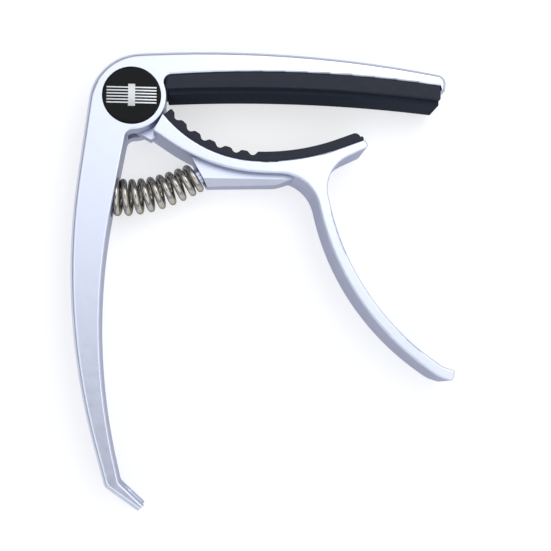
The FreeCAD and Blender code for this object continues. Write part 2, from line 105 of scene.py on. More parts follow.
class CapoPads(bpy.types.PropertyGroup):
    base_bottom: length("Base underside", "Crest of the upper pad's base above the pivot axis", 2.5)
    strip_depth: length("Strip depth", "How far the string strip stands below the base", 1.1)
    strip_inset: length("Strip inset", "How far the strip is set in from the base's sides", 1.3)
    strip_radius: length("Strip radius", "Fingerboard radius of the strip", 350.0)
    side_inset: length("Side inset", "Pads, from each face of the castings", 0.3)
    edge: length("Edge", "Rounding of the pads' moulded edges", 0.3)
    lower_thickness: length("Lower pad thickness", "Thickness of the lower pad", 2.1)
    tooth_pitch: length("Tooth pitch", "Spacing of the lower pad's valleys along its face", 3.6)
    valley_radius: length("Valley radius", "Radius of one valley", 0.95)
    valley_depth: length("Valley depth", "Depth of one valley", 0.85)
    teeth: IntProperty(name="Valleys", description="Number of valleys", default=6, min=1)


class CapoSpring(bpy.types.PropertyGroup):
    wire: length("Wire", "Diameter of the spring wire", 1.5)
    wide: length("Wide end", "Outer diameter in the long handle", 8.4)
    narrow: length("Narrow end", "Outer diameter on the lever's stud", 6.7)
    turns: IntProperty(name="Turns", description="Turns of the coil", default=9, min=3)


class CapoCap(bpy.types.PropertyGroup):
    radius: length("Radius", "Radius of both caps", 6.25)
    edge: length("Edge", "Rounding of the caps' rims", 0.35)
    print_width: length("Print width", "Length of the six printed string lines", 10.6)
    print_pitch: length("Print pitch", "Spacing of the printed string lines", 0.66)
    print_line: length("Print line", "Width of one printed string line", 0.3)
    print_bar: length("Print bar", "Width of the printed bar across the lines", 1.5)


GROUPS = {"capo_finishes": CapoFinishes, "capo_pads": CapoPads, "capo_spring": CapoSpring,
          "capo_cap": CapoCap}


def millimetres(group, *names):
    """Lengths of a property group, in millimetres."""
    return [getattr(group, name) / MM for name in names]


# ---- meshes -----------------------------------------------------------------------------------
def from_pivot(points):
    """Points in millimetres about the hinge axis, as metres in the row frame."""
    moved = np.array(points, float)
    moved[..., :2] += PIVOT
    return moved * MM


def tube_mesh(name, rows, poles):
    """A closed skin over a grid of points: row i runs once round the piece, rows follow each other
    along it, and the first and last row are closed to a pole each. Rows turn left about the way
    that they follow, so that the faces point outwards."""
    along, around = rows.shape[:2]
    points = np.concatenate([rows.reshape(-1, 3), np.array(poles, float)])
    i, j = np.meshgrid(np.arange(along - 1), np.arange(around), indexing="ij")
    nxt = (j + 1) % around
    quads = np.stack([i * around + j, i * around + nxt, (i + 1) * around + nxt,
                      (i + 1) * around + j], -1).reshape(-1, 4)
    ring = np.arange(around)
    turn = (ring + 1) % around
    start, end = along * around, along * around + 1
    last = (along - 1) * around
    caps = np.concatenate([
        np.stack([turn, ring, np.full(around, start)], -1),
        np.stack([last + ring, last + turn, np.full(around, end)], -1),
    ])
    mesh = bpy.data.meshes.new(name)
    mesh.from_pydata(from_pivot(points).tolist(), [], quads.tolist() + caps.tolist())
    mesh.validate()
    mesh.update()
    mesh.polygons.foreach_set("use_smooth", np.ones(len(mesh.polygons), bool))
    piece = bpy.data.objects.new(name, mesh)
    bpy.context.scene.collection.objects.link(piece)
    return piece


def bow(x, middle, crest, radius):
    """Height at x of a circular bow: its crest at the middle, falling away with the radius."""
    return crest - radius + np.sqrt(radius**2 - (x - middle) ** 2)


def end_rounding(total, radius, steps=6):
    """Places along a bar and how far its section is drawn in there: a quarter circle at each end,
    distance radius*(1 - cos a) from the end against a draw-in of radius*(1 - sin a)."""
    angle = np.linspace(0, math.pi / 2, steps)
    near = radius * (1 - np.cos(angle))
    inset = radius * (1 - np.sin(angle))
    return near, total - near[::-1], inset, inset[::-1]


def rounded_section(low, high, back, front, radius, inset, steps=6, guard=0.12):
    """Rounded rectangles, one for each place: from low to high across and from back to front in
    depth, all drawn in by inset. A corner is corner - r*d0*(1 - sin a) + r*d1*(1 - cos a), with d0
    and d1 the ways into and out of it, and a guard point on each side keeps the flats flat."""
    angle = np.linspace(0, math.pi / 2, steps)
    into = np.concatenate([[-radius - guard], -radius * (1 - np.sin(angle)), [0.0]])
    out = np.concatenate([[0.0], radius * (1 - np.cos(angle)), [radius + guard]])
    ways = [(1, 0), (0, 1), (-1, 0), (0, -1)]
    corners = [(high - inset, back + inset), (high - inset, front - inset),
               (low + inset, front - inset), (low + inset, back + inset)]
    across, depth = [], []
    for k, (h, z) in enumerate(corners):
        d0, d1 = ways[k], ways[(k + 1) % 4]
        across.append(h[:, None] + d0[0] * into + d1[0] * out)
        depth.append(z[:, None] + d0[1] * into + d1[1] * out)
    return np.concatenate(across, 1), np.concatenate(depth, 1)


def bar(name, start, normal, low, high, inset, radius, sides, fit=lambda points: points):
    """A bar carried along a line in the XY plane: place + across * normal, with the rounded section
    standing on the line from low to high and between the two sides. fit moves its points."""
    back, front = sides
    across, depth = rounded_section(low, high, np.full_like(low, back), np.full_like(low, front),
                                    radius, inset)
    rows = np.empty(across.shape + (3,))
    rows[..., :2] = start[:, None, :] + across[..., None] * normal[:, None, :]
    rows[..., 2] = depth
    rows = fit(rows)
    return tube_mesh(name, rows, [rows[0].mean(0), rows[-1].mean(0)])


def stations(start, end, rounding, steps):
    """Places along a bar from start to end, close together in its rounded ends, and how far its
    section is drawn in at each."""
    near, far, draw_in, draw_out = end_rounding(end - start, rounding)
    middle = np.linspace(rounding, end - start - rounding, steps)[1:-1]
    drawn = np.concatenate([draw_in, np.zeros(steps - 2), draw_out])
    return start + np.concatenate([near, middle, far]), drawn


def turned(name, radii, heights, segments=96):
    """A body of revolution about the hinge axis: point (r cos a, r sin a, z) for each (r, z) of the
    profile, which starts and ends on the axis."""
    angle = np.linspace(0, 2 * math.pi, segments, endpoint=False)
    r, z = np.array(radii)[1:-1], np.array(heights)[1:-1]
    rows = np.stack([r[:, None] * np.cos(angle), r[:, None] * np.sin(angle),
                     np.repeat(z[:, None], segments, 1)], -1)
    return tube_mesh(name, rows, [(0, 0, heights[0]), (0, 0, heights[-1])])


# ---- materials --------------------------------------------------------------------------------
def add(tree, kind, settings=None, **inputs):
    """Adds a node: settings are its own options, and inputs are values or output sockets to link,
    by the socket's name or, as i0, i6 and so on, by its number."""
    node = tree.nodes.new(kind)
    for key, value in (settings or {}).items():
        setattr(node, key, value)
    for key, value in inputs.items():
        label = key.replace("_", " ")
        socket = node.inputs[label if label in node.inputs else int(key[1:])]
        if isinstance(value, bpy.types.NodeSocket):
            tree.links.new(value, socket)
        else:
            socket.default_value = value
    return node


def finish(name, **inputs):
    """A new material with one Principled shader, its sockets set; returns material, tree, shader."""
    material = bpy.data.materials.new(name)
    material.use_nodes = True
    tree = material.node_tree
    shader = next(n for n in tree.nodes if n.type == "BSDF_PRINCIPLED")
    for key, value in inputs.items():
        shader.inputs[key.replace("_", " ")].default_value = value
    return material, tree, shader


def rgba(value):
    return (*value, 1.0)


def shade(value, factor):
    """A colour made darker or paler by a factor."""
    return tuple(min(1.0, c * factor) for c in value)


def mottled(tree, shader, base, low, high, scale, detail=3.0):
    """Colour that drifts between two shades of base with a soft noise of that many waves a metre."""
    place = add(tree, "ShaderNodeTexCoord").outputs["Object"]
    noise = add(tree, "ShaderNodeTexNoise", Vector=place, Scale=scale, Detail=detail)
    mix = add(tree, "ShaderNodeMix", {"data_type": "RGBA"}, i0=noise.outputs["Fac"],
              i6=rgba(shade(base, low)), i7=rgba(shade(base, high)))
    tree.links.new(mix.outputs[2], shader.inputs["Base Color"])
    return place


def grain(tree, shader, place, scale, strength, distance, detail=4.0, chain=None):
    """Bump from a noise of that many waves a metre, laid over an earlier bump if there is one."""
    noise = add(tree, "ShaderNodeTexNoise", Vector=place, Scale=scale, Detail=detail)
    bump = add(tree, "ShaderNodeBump", Height=noise.outputs["Fac"], Strength=strength,
               Distance=distance)
    if chain is not None:
        tree.links.new(chain.outputs["Normal"], bump.inputs["Normal"])
    tree.links.new(bump.outputs["Normal"], shader.inputs["Normal"])
    return bump


def gloss_drift(tree, shader, place, scale, low, high):
    """Roughness that drifts between two values, as handling and polishing leave it."""
    noise = add(tree, "ShaderNodeTexNoise", Vector=place, Scale=scale, Detail=3.0)
    span = add(tree, "ShaderNodeMapRange", Value=noise.outputs["Fac"], From_Min=0.0, From_Max=1.0,
               To_Min=low, To_Max=high)
    tree.links.new(span.outputs["Result"], shader.inputs["Roughness"])


def satin_lacquered_casting(c):
    """Die-cast aluminium, tumbled, then sprayed with a silver satin lacquer: a broad soft gloss
    that dims at a glancing angle, very slight orange peel about 1.2 mm apart and a metal-flake
    grain. Real flake is 0.05 mm; it is drawn 0.4 mm apart, because finer would not show."""
    material, tree, shader = finish("satin_lacquered_casting", Metallic=1.0, Roughness=0.32)
    shader.inputs["Specular Tint"].default_value = (0.36, 0.36, 0.42, 1.0)
    place = mottled(tree, shader, c.casting, 0.97, 1.0, 260.0)
    gloss_drift(tree, shader, place, 420.0, 0.28, 0.37)
    peel = grain(tree, shader, place, 830.0, 0.1, 0.00006)
    grain(tree, shader, place, 2600.0, 0.35, 0.00002, chain=peel)
    return material


def moulded_silicone(name, base, gloss=0.3, bloom=0.05, ior=1.43, matt=0.54):
    """Solid silicone rubber from a spark-eroded mould: nearly black, matt with a faint cool bloom
    on edges, a waviness about 1.7 mm apart and a stipple about 0.35 mm apart."""
    material, tree, shader = finish(name, Roughness=matt, IOR=ior)
    shader.inputs["Specular IOR Level"].default_value = gloss
    shader.inputs["Sheen Weight"].default_value = bloom
    shader.inputs["Sheen Tint"].default_value = (0.75, 0.82, 1.0, 1.0)
    shader.inputs["Sheen Roughness"].default_value = 0.4
    place = mottled(tree, shader, base, 0.82, 1.12, 900.0)
    gloss_drift(tree, shader, place, 500.0, matt - 0.08, matt + 0.08)
    peel = grain(tree, shader, place, 600.0, 0.08, 0.00012)
    grain(tree, shader, place, 2900.0, 0.22, 0.00005, chain=peel)
    return material


def nickel_plated_wire(c):
    """Cold-drawn spring steel under bright nickel: mirror-like, with fine die lines along the wire
    every 0.1 mm or so and a warm cast in the plating. The wire is 4.7 mm round, so it has 44."""
    material, tree, shader = finish("nickel_plated_wire", Metallic=1.0, Roughness=0.2)
    shader.inputs["Specular Tint"].default_value = (0.35, 0.33, 0.3, 1.0)
    place = mottled(tree, shader, c.wire, 0.9, 1.0, 700.0)
    gloss_drift(tree, shader, place, 900.0, 0.14, 0.24)
    line = add(tree, "ShaderNodeUVMap", {"uv_map": "along_wire"}).outputs["UV"]
    drawn = add(tree, "ShaderNodeMapping", Vector=line, Scale=(30.0, 44.0, 1.0)).outputs["Vector"]
    grain(tree, shader, drawn, 1.0, 0.12, 0.00003, detail=2.0)
    return material


def gloss_black_cap(c):
    """Injection-moulded black ABS with a polished face: deep gloss, hairline handling marks."""
    material, tree, shader = finish("gloss_black_cap", Roughness=0.12, IOR=1.53)
    shader.inputs["Specular IOR Level"].default_value = 0.12
    place = mottled(tree, shader, c.cap, 0.8, 1.2, 500.0)
    gloss_drift(tree, shader, place, 700.0, 0.08, 0.2)
    # marks are about 1 mm long and 0.2 mm apart, and lie askew
    streaks = add(tree, "ShaderNodeMapping", Vector=place, Scale=(900.0, 5200.0, 900.0),
                  Rotation=(0.0, 0.0, 0.5)).outputs["Vector"]
    grain(tree, shader, streaks, 1.0, 0.015, 0.00002, detail=2.0)
    return material


def printed_silver(c):
    """Pad-printed silver ink: a thin flaked film with a dull metal gloss."""
    material, tree, shader = finish("printed_silver", Metallic=0.7, Roughness=0.4)
    place = mottled(tree, shader, c.print_silver, 0.9, 1.0, 3000.0)
    grain(tree, shader, place, 6000.0, 0.1, 0.00001)
    return material


def turned_metal(name, base, roughness, spacing):
    """Lathe-turned metal: tool marks are rings about the hinge axis, spacing mm apart. Real ones
    are 0.1 mm apart, too fine to show, so they are drawn wider."""
    material, tree, shader = finish(name, Metallic=1.0, Roughness=roughness)
    place = mottled(tree, shader, base, 0.88, 1.0, 600.0)
    centred = add(tree, "ShaderNodeMapping", Vector=place,
                  Location=(-PIVOT[0] * MM, -PIVOT[1] * MM, 0.0)).outputs["Vector"]
    # a wave texture of scale 1 runs through 20 radians in a metre
    rings = add(tree, "ShaderNodeTexWave", {"wave_type": "RINGS", "rings_direction": "Z"},
                Vector=centred, Scale=2 * math.pi / (spacing * MM) / 20, Distortion=0.4)
    bump = add(tree, "ShaderNodeBump", Height=rings.outputs["Fac"], Strength=0.25,
               Distance=0.00002)
    tree.links.new(bump.outputs["Normal"], shader.inputs["Normal"])
    gloss_drift(tree, shader, place, 800.0, roughness * 0.8, roughness * 1.3)
    return material


def stamped_nylon(c):
    """Natural nylon sheet, stamped: waxy, slightly translucent and matt."""
    material, tree, shader = finish("stamped_nylon", Roughness=0.5, IOR=1.53)
    shader.inputs["Subsurface Weight"].default_value = 0.15
    shader.inputs["Subsurface Scale"].default_value = 0.0005
    place = mottled(tree, shader, c.washer, 0.94, 1.0, 700.0)
    grain(tree, shader, place, 2500.0, 0.15, 0.00003)
    return material


def studio_paper(c):
    """Matt white paper on a light table: a fibre tooth about 0.8 mm apart, hardly seen, and a
    little light of its own that keeps the shadows soft."""
    material, tree, shader = finish("studio_paper", Roughness=0.85)
    shader.inputs["Specular IOR Level"].default_value = 0.2
    shader.inputs["Emission Color"].default_value = (1.0, 1.0, 1.0, 1.0)
    shader.inputs["Emission Strength"].default_value = 0.56
    place = mottled(tree, shader, c.floor, 0.985, 1.0, 60.0)
    grain(tree, shader, place, 1250.0, 0.05, 0.00005)
    return material


def clad(piece, material):
    """Gives the piece that material in every one of its slots."""
    if not piece.material_slots:
        piece.data.materials.append(material)
    for entry in piece.material_slots:
        entry.material = material


def place_piece(piece, material, slot, body, *nodes):
    """Finish and body of a new piece, and the CAD nodes that it stands for; slot is not used."""
    clad(piece, material)
    if nodes:
        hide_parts(*nodes)
    if body:
        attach(piece, body)
    return piece


# ---- the pieces -------------------------------------------------------------------------------
class CAPO_OT_castings(bpy.types.Operator):
    """Satin lacquer on both castings"""
    bl_idname = "capo.castings"
    bl_label = "Castings"

    def execute(self, context):
        satin = satin_lacquered_casting(context.scene.capo_finishes)
        for node in ("main_frame", "lever"):
            clad(frame["nodes"][node], satin)
        return {"FINISHED"}


class CAPO_OT_pivot(bpy.types.Operator):
    """Finishes of the pin, clip, bush and washers inside the hinge"""
    bl_idname = "capo.pivot"
    bl_label = "Pivot"

    def execute(self, context):
        c = context.scene.capo_finishes
        steel = turned_metal("turned_bright_steel", c.pin, 0.22, 0.754)
        bronze = turned_metal("oil_bronze", c.bush, 0.35, 0.942)
        nylon = stamped_nylon(c)
        for node, material in (("pivot_pin", steel), ("pin_clip", steel), ("pivot_bush", bronze),
                               ("front_washer", nylon), ("rear_washer", nylon)):
            clad(frame["nodes"][node], material)
        return {"FINISHED"}


# Millimetres from the hinge axis, as everything about the pieces below is.
SEAT_BOW = (33.2, 6.0, 267.5)        # seat of the upper jaw: middle, crest, radius
PAD_MIDDLE = 32.0                    # crest of the pad's own bows
BASE_ENDS = (7.4, 67.35)
STRIP_ENDS = (7.8, 67.15)
STRIP_ROOT = 0.35                    # how far the strip reaches up into the base
BOSS_RADIUS = 7.45
WEB_RADIUS = 1.7                     # fillet between the boss and the seat
WEB_CENTRE = (8.583, 3.17)
WEB_REACH = 0.98                     # share of the fillet that the pad's end follows
FADE = 6.0                           # the pad's end is moved less and less over this length
END_GAP = 0.05                       # pad to casting


def against_boss(points, left):
    """Moves the left end of a bar up to the casting: along the circle of the boss, x = sqrt(R^2 -
    y^2), and above it along the circle of the web. The move fades out by a smooth step."""
    x, y = points[..., 0], points[..., 1]
    boss = np.sqrt(BOSS_RADIUS**2 - np.clip(y, -7, 7) ** 2)
    lift = np.clip(y - WEB_CENTRE[1], 0, WEB_REACH * WEB_RADIUS)
    web = WEB_CENTRE[0] - np.sqrt(WEB_RADIUS**2 - lift**2)
    edge = np.where(y < WEB_CENTRE[1], np.maximum(boss, web), web) + END_GAP + left - BASE_ENDS[0]
    fade = np.clip((x - left) / FADE, 0, 1)
    moved = points.copy()
    moved[..., 0] += (edge - left) * (1 - fade * fade * (3 - 2 * fade))
    return moved


class CAPO_OT_upper_pad(bpy.types.Operator):
    """Silicone pad in the upper jaw: a base in the seat and the narrower strip below it"""
    bl_idname = "capo.upper_pad"
    bl_label = "Upper pad"

    def execute(self, context):
        p = context.scene.capo_pads
        bottom, drop, inset, radius, side, edge = millimetres(
            p, "base_bottom", "strip_depth", "strip_inset", "strip_radius", "side_inset", "edge")
        c = context.scene.capo_finishes
        # the strip is matt from the strings, and hardly shines even at a glancing angle
        worn = moulded_silicone("dense_silicone", c.strip, gloss=0.08, bloom=0.01, ior=1.15, matt=0.78)
        for name, material, (left, right), sides, low_crest, top in (
                ("upper_pad_base", moulded_silicone("moulded_silicone", c.silicone), BASE_ENDS,
                 side, bottom, SEAT_BOW),
                ("upper_pad_strip", worn, STRIP_ENDS,
                 side + inset, bottom - drop, (PAD_MIDDLE, bottom + STRIP_ROOT, radius))):
            x, drawn = stations(left, right, edge, 90)
            line = np.stack([x, np.zeros_like(x)], -1)
            up = np.tile([0.0, 1.0], (len(x), 1))
            piece = bar(name, line, up, bow(x, PAD_MIDDLE, low_crest, radius), bow(x, *top), drawn,
                        edge, (sides, DEPTH - sides),
                        fit=lambda points, left=left: against_boss(points, left))
            place_piece(piece, material, "silicone", "frame", "upper_pad")
        return {"FINISHED"}


SADDLE_START = np.array([6.756, -3.798])
SADDLE_HEADING = -50.07              # degrees
# Each run of the saddle: its length, and how far it turns to the left, in degrees.
SADDLE_RUNS = ((0.49, 0.0), (23.24, 50.07), (0.06, 0.0), (18.16, 20.81), (5.37, 0.0))
FIRST_VALLEY = 2.61                  # along the saddle
NEAR_RADIUS = 26.6                   # of the run that the valleys stand on
LOWER_START = 0.15                   # the pad starts that far along the saddle
TIP_SHORT = 0.6                      # the pad's face ends that far before the casting's tip
TIP_RADIUS = 1.2
CREST_ROUND = 0.25                   # crests are averaged over this much to each side
LOWER_EDGE = 0.22                    # rounding of the section
LEAST_HEIGHT = 0.35                  # of the section, at the very ends


def saddle(distance):
    """Place and left normal on the saddle of the lower jaw. Its heading grows evenly over each run
    by that run's turn, and the place is the sum of short steps along the heading."""
    ends = np.concatenate([[0.0], np.cumsum([run for run, _ in SADDLE_RUNS])])
    turns = np.concatenate([[0.0], np.cumsum([turn for _, turn in SADDLE_RUNS])])
    fine = np.linspace(0, ends[-1], 4001)
    heading = np.radians(SADDLE_HEADING + np.interp(fine, ends, turns))
    step = fine[1] - fine[0]
    mid = (heading[1:] + heading[:-1]) / 2
    x = SADDLE_START[0] + np.concatenate([[0.0], np.cumsum(np.cos(mid) * step)])
    y = SADDLE_START[1] + np.concatenate([[0.0], np.cumsum(np.sin(mid) * step)])
    place = np.stack([np.interp(distance, fine, x), np.interp(distance, fine, y)], -1)
    way = np.interp(distance, fine, heading)
    return place, np.stack([-np.sin(way), np.cos(way)], -1)


class CAPO_OT_lower_pad(bpy.types.Operator):
    """Silicone pad on the lower jaw: round valleys beside the pivot, smooth to the tip"""
    bl_idname = "capo.lower_pad"
    bl_label = "Lower pad"

    def execute(self, context):
        p = context.scene.capo_pads
        thick, pitch, round_, deep, side, edge = millimetres(
            p, "lower_thickness", "tooth_pitch", "valley_radius", "valley_depth", "side_inset",
            "edge")
        total = sum(run for run, _ in SADDLE_RUNS)
        s, drawn = stations(LOWER_START, total, edge, 720)
        place, normal = saddle(s)
        high = np.full_like(s, thick)
        # a valley is an arc whose centre stands just above the face of the pad
        to_face = (NEAR_RADIUS - thick) / NEAR_RADIUS
        nearest = np.clip(np.round((s - FIRST_VALLEY) * to_face / pitch), 0, p.teeth - 1)
        off = (s - FIRST_VALLEY) * to_face - nearest * pitch
        dip = np.sqrt(np.clip(round_**2 - off**2, 0, None)) - (round_ - deep)
        high -= np.clip(dip, 0, None)
        # crests are rounded off by a running mean of the height, taken twice
        count = len(s) // 2
        width = int(round(CREST_ROUND / (s[count] - s[count - 1]))) * 2 + 1
        for _ in range(2):
            high = np.convolve(np.pad(high, width // 2, mode="edge"), np.ones(width) / width,
                               "valid")
        # the tip's upper corner is an arc
        tip = np.clip((s - (total - TIP_SHORT - TIP_RADIUS)) / TIP_RADIUS, 0, 1)
        high -= TIP_RADIUS * (1 - np.sqrt(1 - tip**2))
        high = np.maximum(high, LEAST_HEIGHT + 2 * drawn)
        piece = bar("lower_pad_saddle", place, normal, np.zeros_like(s), high, drawn,
                    LOWER_EDGE, (side, DEPTH - side))
        silicone = moulded_silicone("ridged_silicone", context.scene.capo_finishes.silicone)
        place_piece(piece, silicone, "silicone", "lever", "lower_pad")
        return {"FINISHED"}


SPRING_FOOT = np.array([-4.93, -20.84])
SPRING_SEAT = np.array([14.8, -16.0])
FOOT_WAY = np.array([0.984, -0.176])
SEAT_WAY = np.array([0.875, 0.484])
SPRING_GAP = 0.1                     # wire to the pocket's floor and to the seat
FOOT_LIFT = 0.2                      # more room under the first turn
CLOSED_GAP = 0.1                     # between the closed turns at either end
PER_TURN, AROUND = 48, 18            # rings of the wire to a turn, and points to a ring


def spring_line(share):
    """Cubic curve from the pocket to the seat: it leaves and arrives squarely, with handles a third
    of the straight distance long."""
    pull = np.linalg.norm(SPRING_SEAT - SPRING_FOOT) / 3
    t = np.asarray(share)[..., None]
    second, third = SPRING_FOOT + FOOT_WAY * pull, SPRING_SEAT - SEAT_WAY * pull
    return ((1 - t) ** 3 * SPRING_FOOT + 3 * (1 - t) ** 2 * t * second
            + 3 * (1 - t) * t**2 * third + t**3 * SPRING_SEAT)


class CAPO_OT_spring(bpy.types.Operator):
    """Coil spring from the long handle to the lever, tapered, with closed end turns: a round wire
    about centre + radius * (cos a * side + sin a * Z), its radius falling evenly along the line"""
    bl_idname = "capo.spring"
    bl_label = "Spring"

    def execute(self, context):
        p = context.scene.capo_spring
        wire, wide, narrow = millimetres(p, "wire", "wide", "narrow")
        fine = spring_line(np.linspace(0, 1, 400))
        run = np.linalg.norm(np.diff(fine, axis=0), axis=1).sum()
        # rise of the wire at each half turn: close in the first and last turn, open between
        closed = (wire + CLOSED_GAP) / 2
        inner = 2 * p.turns - 4
        free = (run - wire - 2 * SPRING_GAP - FOOT_LIFT - 4 * closed) / inner
        rises = np.cumsum([0.0] + [closed] * 2 + [free] * inner + [closed] * 2)
        half = np.linspace(0, 2 * p.turns, p.turns * PER_TURN + 1)
        climb = np.interp(half, np.arange(2 * p.turns + 1), rises)
        # a running mean over half a turn eases the change of pitch
        reach = PER_TURN // 4
        kernel = np.ones(2 * reach + 1) / (2 * reach + 1)
        climb = np.convolve(np.pad(climb, reach, mode="reflect", reflect_type="odd"), kernel, "valid")
        share = (SPRING_GAP + FOOT_LIFT + wire / 2 + climb) / run
        # half a half turn back, so that both cut ends lie at the back
        angle = (half - 0.5) * math.pi
        centre = spring_line(share)
        way = spring_line(share + 0.001) - spring_line(share - 0.001)
        way /= np.linalg.norm(way, axis=-1, keepdims=True)
        side = np.stack([-way[:, 1], way[:, 0], np.zeros(len(way))], -1)
        radius = ((wide + (narrow - wide) * share) - wire) / 2
        out = np.cos(angle)[:, None] * side + np.sin(angle)[:, None] * np.array([0, 0, 1.0])
        centre = np.concatenate([centre, np.full((len(centre), 1), MIDDLE)], -1)
        path = centre + radius[:, None] * out
        tangent = np.gradient(path, axis=0)
        tangent /= np.linalg.norm(tangent, axis=-1, keepdims=True)
        out -= (out * tangent).sum(-1, keepdims=True) * tangent
        out /= np.linalg.norm(out, axis=-1, keepdims=True)
        bind = np.cross(tangent, out)
        # cut ends have a small bevel: two more rings at each end, narrower towards the cut
        beyond, narrower = np.array([0.2, 0.12]), np.array([0.78, 0.94])
        shrink = np.concatenate([narrower, np.ones(len(path)), narrower[::-1]])
        path = np.concatenate([path[0] - tangent[0] * beyond[:, None], path,
                               path[-1] + tangent[-1] * beyond[::-1, None]])
        out, bind = (np.pad(ways, ((2, 2), (0, 0)), mode="edge") for ways in (out, bind))
        share = np.pad(share, 2, mode="edge")
        phi = np.linspace(0, 2 * math.pi, AROUND, endpoint=False)[:, None]
        ring = np.cos(phi) * out[:, None] + np.sin(phi) * bind[:, None]
        rows = path[:, None] + wire / 2 * shrink[:, None, None] * ring
        piece = tube_mesh("spring_wire", rows, [path[0], path[-1]])
        self.lay_uv(piece.data, len(path), AROUND)
        place_piece(piece, nickel_plated_wire(context.scene.capo_finishes), "nickel_steel", None,
                    "spring")
        foot, seat = (from_pivot(np.append(spot, MIDDLE)) for spot in (SPRING_FOOT, SPRING_SEAT))
        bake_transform(piece)
        return {"FINISHED"}

    @staticmethod
    def lay_uv(mesh, along, around):
        """UV map: u counts rings along the wire and v goes once round it."""
        corners = np.empty(len(mesh.loops), int)
        mesh.loops.foreach_get("vertex_index", corners)
        u = (corners // around) / along
        v = (corners % around) / around
        layer = mesh.uv_layers.new(name="along_wire")
        layer.data.foreach_set("uv", np.stack([u, v], -1).astype(np.float32).ravel())


CROWN = 0.06                         # a cap's face falls that far from its middle to its rim
PRINT_MARGIN = 0.7                   # string lines end that far inside the rim
BAR_PAST = 0.75                      # the printed bar's ends past the outer lines
FILM_THICK = 0.07                    # printed film, most of it inside the cap
FILM_STEP = 0.001                    # the lines lie that far below the bar
FILM_EDGE, FILM_CORNER = 0.012, 0.01   # roundings of the film's ends and of its section
FILM_GUARD = 0.02


def cap_profile(radius, height, edge, steps=8):
    """Profile of a cap, outside only: flat foot with a lead-in of 0.3 by 0.2 mm, straight skirt,
    round rim and a face that falls as the square of the distance from its middle."""
    angle = np.linspace(0, math.pi / 2, steps)
    rim_r = radius - edge + edge * np.cos(angle)
    rim_z = height - CROWN - edge + edge * np.sin(angle)
    face_r = np.linspace(radius - edge, 0, 14)[1:-1]
    face_z = height - CROWN * (face_r / (radius - edge)) ** 2
    radii = np.concatenate([[0, radius - 0.3, radius], rim_r, face_r, [0]])
    heights = np.concatenate([[0, 0, 0.2], rim_z, face_z, [height]])
    return radii, heights


class CAPO_OT_caps(bpy.types.Operator):
    """Gloss caps over the pivot, front and back, and a plain print of six strings and a bar"""
    bl_idname = "capo.caps"
    bl_label = "Caps"

    def execute(self, context):
        p = context.scene.capo_cap
        radius, edge, width, pitch, line, across = millimetres(
            p, "radius", "edge", "print_width", "print_pitch", "print_line", "print_bar")
        c = context.scene.capo_finishes
        black = gloss_black_cap(c)
        low, top = (corner.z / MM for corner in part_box("front_cap"))
        radii, heights = cap_profile(radius, top - low, edge)
        front = turned("front_cap_shell", radii, low + heights)
        place_piece(front, black, "black_cap", "frame", "front_cap")
        rear_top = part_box("rear_cap")[1].z / MM
        radii, heights = cap_profile(radius, rear_top, edge)
        rear = turned("rear_cap_shell", radii[::-1], rear_top - heights[::-1])
        place_piece(rear, black, "black_cap", "frame", "rear_cap")
        silver = printed_silver(c)
        rows = (np.arange(6) - 2.5) * pitch
        for k, y in enumerate(rows):
            half = min(width / 2, math.sqrt((radius - PRINT_MARGIN) ** 2 - y**2))
            printed_film(f"print_string_{k + 1}", (0, y), (1, 0), half, line,
                         (top - FILM_THICK, top - FILM_STEP), silver)
        half = (rows[-1] - rows[0]) / 2 + BAR_PAST
        printed_film("print_bar", (0, 0), (0, 1), half, across, (top - FILM_THICK, top), silver)
        return {"FINISHED"}


def printed_film(name, middle, way, half, width, heights, material):
    """A printed line of that width, from half before its middle to half after it along way: a thin
    film between two heights with drawn-in ends, nearly all of it inside the cap's crowned face."""
    near, far, draw_in, draw_out = end_rounding(2 * half, FILM_EDGE, 3)
    steps = -half + np.concatenate([near, far])
    drawn = np.concatenate([draw_in, draw_out])
    line = np.array(middle, float) + steps[:, None] * np.array(way, float)
    normal = np.tile([-float(way[1]), float(way[0])], (len(steps), 1))
    side = np.full_like(steps, width / 2)
    bottom, top = (np.full_like(steps, height) for height in heights)
    across, depth = rounded_section(-side, side, bottom, top, FILM_CORNER, drawn, 3, FILM_GUARD)
    rows = np.empty(across.shape + (3,))
    rows[..., :2] = line[:, None, :] + across[..., None] * normal[:, None, :]
    rows[..., 2] = depth
    piece = tube_mesh(name, rows, [rows[0].mean(0), rows[-1].mean(0)])
    return place_piece(piece, material, "black_cap", "frame")


# ---- stage ------------------------------------------------------------------------------------
CAMERA = (-20.60, -26.26, 257.0)     # mm
AIM = (2.28, 0.21, 12.0)
LENS = 76.09
FLOOR_HALF, FLOOR_CELLS = 6.0, 25    # metres from the middle to a side, and points along a side
FLOOR_DROP = 0.00002                 # metres below the capo, so that the two faces don't flicker
CEILING = (1.42, 1.45, 1.50, 1.0)
WALLS = (0.18, 0.185, 0.20, 1.0)
SKIRTING = (0.98, 0.99, 1.0, 1.0)    # as pale as the floor, so that the horizon hardly shows
OPENING = (0.01, 0.01, 0.02, 1.0)


def facing(eye, aim):
    """Turn of a camera or light at eye that looks at aim with +Y of the row frame upwards."""
    back = (Vector(eye) - Vector(aim)).normalized()
    right = Vector((0, 1, 0)).cross(back).normalized()
    return Matrix((right, back.cross(right), back)).transposed().to_euler()


def softbox(name, spot, aim, size, power, tint="#FFFFFF"):
    """A round soft light, spot, aim and size in millimetres."""
    lamp = bpy.data.lights.new(name, "AREA")
    lamp.shape, lamp.size, lamp.energy, lamp.color = "DISK", size * MM, power, linear(tint)
    holder = bpy.data.objects.new(name, lamp)
    holder.location = [v * MM for v in spot]
    holder.rotation_euler = facing(spot, aim)
    bpy.context.scene.collection.objects.link(holder)


